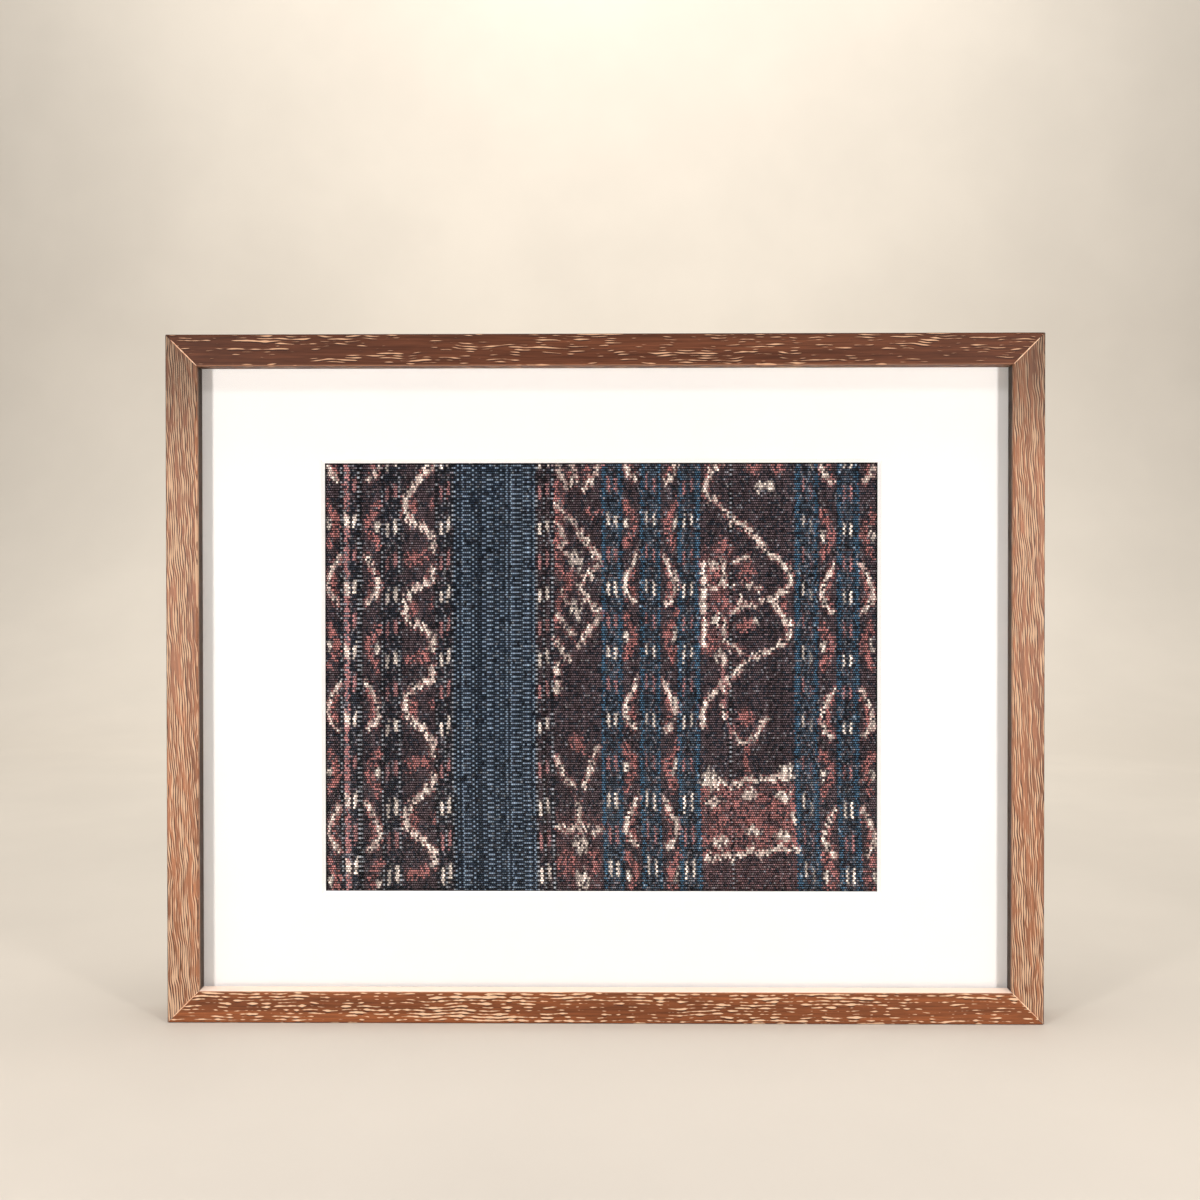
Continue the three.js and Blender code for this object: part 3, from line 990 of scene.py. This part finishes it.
    def zigzag(self):
        right, left = ZIGZAG_RIGHT, ZIGZAG_LEFT
        for row in ZIGZAG_RIGHT_ROWS:
            self.stroke([(left + 2.4, row), (right - 4.6, row)], 6.6, "rust")
        for row in ZIGZAG_LEFT_ROWS:
            self.spot(left + 4.4, row + 0.8, 2.2, 5.0, "rust")
            self.spot(right - 0.4, row - 2.0, 1.4, 3.2, "rust")
        path = [(right, -2.0), (right - 2.5, 2.5)]
        for left_row, right_row in zip(ZIGZAG_LEFT_ROWS, ZIGZAG_RIGHT_ROWS):
            path += [(left + 3.0, left_row - 9.0), (left, left_row - 4.6), (left, left_row + 3.6)]
            path += [(left + 5.0, left_row + 8.6), (right, right_row - 12.5), (right, right_row - 4.6)]
            self.stroke(path, 3.4, "cream")
            path = [(right, right_row + 5.5), (right, right_row + 12.5)]

    def charted(self, strokes, spots):
        for dye, u, v, half_width, half_height in spots:
            self.spot(u, v, half_width, half_height, dye)
        for dye, width, path in strokes:
            self.stroke(path, width, dye)

    def finished(self):
        """Every float's colour, with the unevenness of the yarn and stray pale fibres."""
        # Painted shadow: the floats darken within 1.3 mm of the window's edges, where the mat meets the
        # cloth.
        inside = np.minimum(self.u, WINDOW_WIDTH / MM - self.u)
        inside = np.minimum(inside, np.minimum(self.v0, WINDOW_HEIGHT / MM - self.v0))
        self.colour *= np.clip(inside / 1.3, 0.08, 1)[:, None]
        stray = self.second > 0.97
        self.colour[stray] = self.colour[stray] * 0.8 + 0.05
        return self.colour * np.clip(self.yarn, 0.25, 2.1)[:, None]


# How far the weave runs on behind the mat at its sides and at its top and foot, and how far its picks stand
# above an even split of the window, all in millimetres.
HIDDEN_SIDE, HIDDEN_TOP = 2.2, 2.0
PICKS_UP = 0.26

# The warp leans over to the right from this row down, fully so after this length. The lean is the first of
# these widths at the window's left, and grows by the second over the span.
LEAN_FROM, LEAN_LENGTH = 165, 80
LEAN_LEFT, LEAN_MORE, LEAN_SPAN = 0.6, 1.6, 300


def leaning(u, v):
    """How far the warp stands to the right of its true place."""
    foot = np.clip((v - LEAN_FROM) / LEAN_LENGTH, 0, 1)
    return (LEAN_LEFT + LEAN_MORE * np.clip(u / LEAN_SPAN, 0, 1)) * foot * foot * (3 - 2 * foot)


def woven_floats(settings):
    """Every float of the warp-faced weave: its three lines of corners, its end and its place."""
    pick, end = settings.pick_pitch / MM, settings.end_pitch / MM
    ends = 2 * int((WINDOW_WIDTH / MM + 2 * HIDDEN_SIDE) / end / 2)
    picks = int((WINDOW_HEIGHT / MM + 2 * HIDDEN_TOP) / pick)
    left = -(ends * end - WINDOW_WIDTH / MM) / 2
    top = -(picks * pick - WINDOW_HEIGHT / MM) / 2 - PICKS_UP
    draw = np.random.default_rng(settings.seed + 1)
    beat = np.cumsum(draw.normal(0, 0.02, picks + 1))
    beat -= np.linspace(0, beat[-1], picks + 1)
    lines = top + pick * np.arange(picks + 1) + np.clip(beat, -0.12, 0.12)
    sides = left + end * np.arange(ends + 1) + np.clip(draw.normal(0, 0.09, ends + 1), -0.2, 0.2)
    rows = []
    for i in range(picks):
        first = 1 - i % 2
        middles = np.arange(first, ends + 1, 2)
        edges = np.clip(np.append(middles - 1, middles[-1] + 1), 0, ends)
        rows.append((i, sides[edges], middles, lines[i], lines[i + 1]))
    return rows, left, end


def bow_of_weft(u, row):
    """Slow waves of the weft, in millimetres down."""
    return 0.07 * np.sin(u / 41 + row * 0.017) + 0.04 * np.sin(u / 17 + row * 0.031 + 1.3)


class IKAT_OT_cloth(bpy.types.Operator):
    """Weaves and dyes the cloth"""

    bl_idname = "ikat.cloth"
    bl_label = "Ikat cloth"

    def execute(self, context):
        settings = context.scene.ikat_cloth
        rows, left, pitch = woven_floats(settings)
        points, quads, uvs, end, across, down = self.weave(settings, rows, left, pitch)
        warp = DyedWarp(end, across, down, settings)
        warp.ground()
        warp.blue_band()
        warp.faded_stripe()
        warp.dashes()
        warp.rings()
        warp.zigzag()
        warp.fields()
        warp.charted(CHAIN_STROKES, CHAIN_SPOTS)
        warp.charted(WIDE_STROKES, WIDE_SPOTS)
        colours = np.repeat(warp.finished(), 2, axis=0)
        points, quads, uvs, colours = self.add_margins(settings, points, quads, uvs, colours)
        self.build(points, quads, uvs, colours)
        return {"FINISHED"}

    def weave(self, settings, rows, left, pitch):
        """Two faces for each float, up to the rib's crest and down again."""
        crest_y = CLOTH_LOW.y
        valley_y = crest_y + settings.rib_height
        points, quads, uvs, end, across, down = [], [], [], [], [], []
        base = 0
        for i, edges, middles, top, bottom in rows:
            count = edges.size
            for share, y in ((0.0, valley_y), (0.5, crest_y), (1.0, valley_y)):
                v = top + share * (bottom - top) + bow_of_weft(edges, i)
                x = WINDOW_LEFT + (edges + leaning(edges, v)) * MM
                z = WINDOW_TOP - v * MM
                points.append(np.stack([x, np.full(count, y), z], axis=1))
            k = np.arange(count - 1)
            upper = base + np.stack([k + count, k + count + 1, k + 1, k], axis=1)
            quads.append(np.stack([upper + count, upper], axis=1).reshape(-1, 4))
            low = [(0, 0), (1, 0), (1, 0.5), (0, 0.5)]
            high = [(0, 0.5), (1, 0.5), (1, 1), (0, 1)]
            uvs.append(np.tile(np.array(low + high, float), (k.size, 1)))
            end.append(middles)
            across.append(left + middles * pitch)
            down.append(np.full(middles.size, (top + bottom) / 2))
            base += 3 * count
        return [np.concatenate(part) for part in (points, quads, uvs, end, across, down)]

    def add_margins(self, settings, points, quads, uvs, colours):
        """The four strips of cloth behind the mat, out to the cut edge."""
        low, high = points.min(axis=0), points.max(axis=0)
        y = CLOTH_LOW.y + settings.rib_height
        xs = (CLOTH_LOW.x, low[0], high[0], CLOTH_HIGH.x)
        zs = (CLOTH_LOW.z, low[2], high[2], CLOTH_HIGH.z)
        grid = np.array([(x, y, z) for z in zs for x in xs])
        cells = [(r, c) for r in range(3) for c in range(3) if (r, c) != (1, 1)]
        corners = np.array([len(points) + 4 * r + c for r, c in cells])
        margin = np.stack([corners, corners + 1, corners + 5, corners + 4], axis=1)
        plain = np.tile([(0.5, 0.5)], (4 * len(cells), 1))
        dyed = np.tile(np.array(settings.earth), (len(cells), 1))
        return (
            np.concatenate([points, grid]),
            np.concatenate([quads, margin]),
            np.concatenate([uvs, plain]),
            np.concatenate([colours, dyed]),
        )

    def build(self, points, quads, uvs, colours):
        mesh = bpy.data.meshes.new("ikat_cloth")
        mesh.vertices.add(len(points))
        mesh.vertices.foreach_set("co", points.astype(np.float32).ravel())
        mesh.loops.add(quads.size)
        mesh.loops.foreach_set("vertex_index", quads.astype(np.int32).ravel())
        mesh.polygons.add(len(quads))
        mesh.polygons.foreach_set("loop_start", np.arange(0, quads.size, 4, dtype=np.int32))
        mesh.polygons.foreach_set("use_smooth", np.ones(len(quads), bool))
        mesh.update(calc_edges=True)
        layer = mesh.uv_layers.new(name="float")
        layer.uv.foreach_set("vector", uvs.astype(np.float32).ravel())
        dye = mesh.color_attributes.new("dye", "FLOAT_COLOR", "CORNER")
        corners = np.repeat(np.c_[colours, np.ones(len(colours))], 4, axis=0)
        dye.data.foreach_set("color", corners.astype(np.float32).ravel())
        mesh.materials.append(self.yarn_material())
        cloth = bpy.data.objects.new("ikat_cloth", mesh)
        bpy.context.collection.objects.link(cloth)
        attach(cloth, BODY)
        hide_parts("cloth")

    def yarn_material(self):
        """Handspun cotton: each float's dye, rounded across its width, with twisted fibres, painted shade
        in the valleys between ribs and painted highlights on their crests.
        """
        material, tree, shader = bare_material("Handspun warp", (0.1, 0.08, 0.08))
        dye = add_node(tree, "ShaderNodeAttribute", attribute_name="dye").outputs["Color"]
        place = object_place(tree)
        part = axes(tree, add_node(tree, "ShaderNodeUVMap", uv_map="float").outputs["UV"])
        fibres = stretched_noise(tree, place, (5200, 5200, 1500), 3, 0.6, 0.8)
        worn = stretched_noise(tree, place, (45, 45, 45), 3)
        arch = maths(tree, "SINE", maths(tree, "MULTIPLY", part[1], math.pi))
        round_over = maths(tree, "SINE", maths(tree, "MULTIPLY", part[0], math.pi))
        grey = add_node(tree, "ShaderNodeRGBToBW", {0: dye}).outputs[0]
        # Painted shade in the valleys between the ribs, and painted highlights with a faint sheen on their
        # crests.
        painted_valley_shade = vector_maths(tree, "MULTIPLY", dye, spread(tree, grey, 0.03, 0.3, 0.13, 0.5))
        painted_crest_light = vector_maths(tree, "MULTIPLY", dye, spread(tree, grey, 0.02, 0.3, 3.3, 1.62))
        fuzz_and_sheen = vector_maths(tree, "ADD", painted_crest_light, (0.006, 0.005, 0.005))
        painted_light_share = maths(
            tree, "MULTIPLY", spread(tree, arch, 0.5, 0.98), spread(tree, round_over, 0.1, 0.9, 0.12, 1.0)
        )
        painted_rib_shading = blended(tree, painted_light_share, painted_valley_shade, fuzz_and_sheen)
        shade = maths(
            tree,
            "MULTIPLY",
            spread(tree, fibres, 0.25, 0.75, 0.8, 1.2),
            spread(tree, worn, 0.3, 0.7, 0.9, 1.12),
        )
        tree.links.new(vector_maths(tree, "MULTIPLY", painted_rib_shading, shade), shader.inputs["Base Color"])
        tree.links.new(spread(tree, fibres, 0.2, 0.8, 0.82, 0.98), shader.inputs["Roughness"])
        shader.inputs["Specular IOR Level"].default_value = 0.08
        height = maths(tree, "ADD", round_over, maths(tree, "MULTIPLY", fibres, 0.4))
        raise_surface(tree, shader, height, 0.12 * MM)
        return material


# The floor runs from its front to its back and sweeps up there into the backdrop.
FLOOR_HALF_WIDTH = 1.8
FLOOR_FRONT, FLOOR_BACK = -1.3, 1.9
SWEEP_RADIUS = 0.8
BACKDROP_TOP = 3.0


class IKAT_OT_stage(bpy.types.Operator):
    """Sets the floor, the lights and the camera"""

    bl_idname = "ikat.stage"
    bl_label = "Floor, lights and camera"

    def execute(self, context):
        settings = context.scene.ikat_stage
        self.floor(settings)
        self.lamps(settings)
        self.surroundings(context.scene)
        self.camera(context.scene, settings)
        context.scene.view_settings.view_transform = "Standard"
        return {"FINISHED"}

    def floor(self, settings):
        """A pale floor that sweeps up into a backdrop."""
        material, tree, shader = bare_material("Pale floor", settings.floor)
        clouds = stretched_noise(tree, object_place(tree), (3, 3, 3), 4)
        darker = tuple(0.94 * value for value in settings.floor)
        colour = blended(tree, spread(tree, clouds, 0.3, 0.7), darker, settings.floor)
        tree.links.new(colour, shader.inputs["Base Color"])
        shader.inputs["Roughness"].default_value = 0.8
        profile = [(FLOOR_FRONT, 0.0)]
        steps = 16
        for i in range(steps + 1):
            turn = math.pi / 2 * i / steps
            reach, rise = SWEEP_RADIUS * (math.sin(turn) - 1), SWEEP_RADIUS * (1 - math.cos(turn))
            profile.append((FLOOR_BACK + reach, rise))
        profile.append((FLOOR_BACK, BACKDROP_TOP))
        vertices = [(x, y, z) for y, z in profile for x in (-FLOOR_HALF_WIDTH, FLOOR_HALF_WIDTH)]
        faces = [(2 * i, 2 * i + 1, 2 * i + 3, 2 * i + 2) for i in range(len(profile) - 1)]
        mesh = bpy.data.meshes.new("floor")
        mesh.from_pydata(vertices, [], faces)
        mesh.shade_smooth()
        mesh.materials.append(material)
        floor = bpy.data.objects.new("floor", mesh)
        bpy.context.collection.objects.link(floor)

    def lamps(self, settings):
        """A key lamp from above, a small lamp on each side and a broad one that lights the backdrop."""
        middle = (CAD_LOW + CAD_HIGH) / 2
        backdrop = Vector((0, FLOOR_BACK, 0.7))
        key, warm, broad = (1.0, 0.985, 0.97), (1.0, 0.95, 0.92), (1.0, 0.97, 0.92)
        plans = (
            ("key_lamp", (0.0, -0.95, 1.42), middle, 0.22, 180, settings.key_power, key),
            ("left_lamp", (-0.6, -0.78, 0.27), middle, 0.12, 180, settings.side_power, warm),
            ("backdrop_lamp", (0.0, 0.2, 2.9), backdrop, 2.0, 124, settings.back_power, broad),
            ("right_lamp", (0.6, -0.78, 0.27), middle, 0.12, 180, settings.side_power, warm),
        )
        for name, place, target, size, degrees, power, colour in plans:
            lamp = bpy.data.lights.new(name, "AREA")
            lamp.shape = "DISK"
            lamp.size = size
            lamp.spread = math.radians(degrees)
            lamp.energy = power
            lamp.color = colour
            holder = bpy.data.objects.new(name, lamp)
            holder.location = place
            holder.rotation_euler = (target - Vector(place)).to_track_quat("-Z", "Y").to_euler()
            bpy.context.collection.objects.link(holder)

    def surroundings(self, scene):
        """A soft surrounding light that only the camera sees as bright."""
        world = bpy.data.worlds.new("Studio")
        world.use_nodes = True
        tree = world.node_tree
        tree.nodes.clear()
        rays = add_node(tree, "ShaderNodeLightPath").outputs
        seen = add_node(tree, "ShaderNodeBackground", {"Color": (0.76, 0.69, 0.6, 1), "Strength": 0.92})
        soft = add_node(tree, "ShaderNodeBackground", {"Color": (0.85, 0.92, 1.0, 1), "Strength": 0.07})
        mixed = add_node(
            tree,
            "ShaderNodeMixShader",
            {0: rays["Is Camera Ray"], 1: soft.outputs[0], 2: seen.outputs[0]},
        )
        output = add_node(tree, "ShaderNodeOutputWorld")
        tree.links.new(mixed.outputs[0], output.inputs["Surface"])
        scene.world = world

    def camera(self, scene, settings):
        data = bpy.data.cameras.new("camera")
        data.sensor_width = 36.0
        data.lens = 36.0
        data.clip_start = 0.01
        data.clip_end = 50.0
        camera = bpy.data.objects.new("camera", data)
        scene.collection.objects.link(camera)
        turn = Matrix.Rotation(settings.pan, 4, "Z")
        turn = turn @ Matrix.Rotation(math.pi / 2 - settings.pitch, 4, "X")
        turn = turn @ Matrix.Rotation(-settings.roll, 4, "Z")
        place = Vector((settings.aside, CAD_LOW.y - settings.distance, settings.height))
        camera.matrix_world = Matrix.Translation(place) @ turn
        scene.camera = camera


class IKAT_PT_panel(bpy.types.Panel):
    """Lists the pieces and their settings"""

    bl_idname = "IKAT_PT_panel"
    bl_label = "Framed ikat"
    bl_space_type = "VIEW_3D"
    bl_region_type = "UI"
    bl_category = "Ikat"

    def draw(self, context):
        for operator, holder in OPERATORS:
            box = self.layout.box()
            box.operator(operator.bl_idname)
            if holder:
                settings = getattr(context.scene, holder)
                for name in type(settings).__annotations__:
                    box.prop(settings, name)


SETTINGS = (
    ("ikat_oak", OakSettings),
    ("ikat_boards", BoardSettings),
    ("ikat_cloth", ClothSettings),
    ("ikat_stage", StageSettings),
)
OPERATORS = (
    (IKAT_OT_stage, "ikat_stage"),
    (IKAT_OT_rails, "ikat_oak"),
    (IKAT_OT_pane, None),
    (IKAT_OT_boards, "ikat_boards"),
    (IKAT_OT_points, None),
    (IKAT_OT_cloth, "ikat_cloth"),
)


def register():
    for holder, group in SETTINGS:
        bpy.utils.register_class(group)
        setattr(bpy.types.Scene, holder, PointerProperty(type=group))
    for operator, _ in OPERATORS:
        bpy.utils.register_class(operator)
    bpy.utils.register_class(IKAT_PT_panel)


def unregister():
    bpy.utils.unregister_class(IKAT_PT_panel)
    for operator, _ in reversed(OPERATORS):
        bpy.utils.unregister_class(operator)
    for holder, group in reversed(SETTINGS):
        delattr(bpy.types.Scene, holder)
        bpy.utils.unregister_class(group)


def main():
    register()
    for operator, _ in OPERATORS:
        family, name = operator.bl_idname.split(".")
        getattr(getattr(bpy.ops, family), name)()


if __name__ == "__main__":
    main()
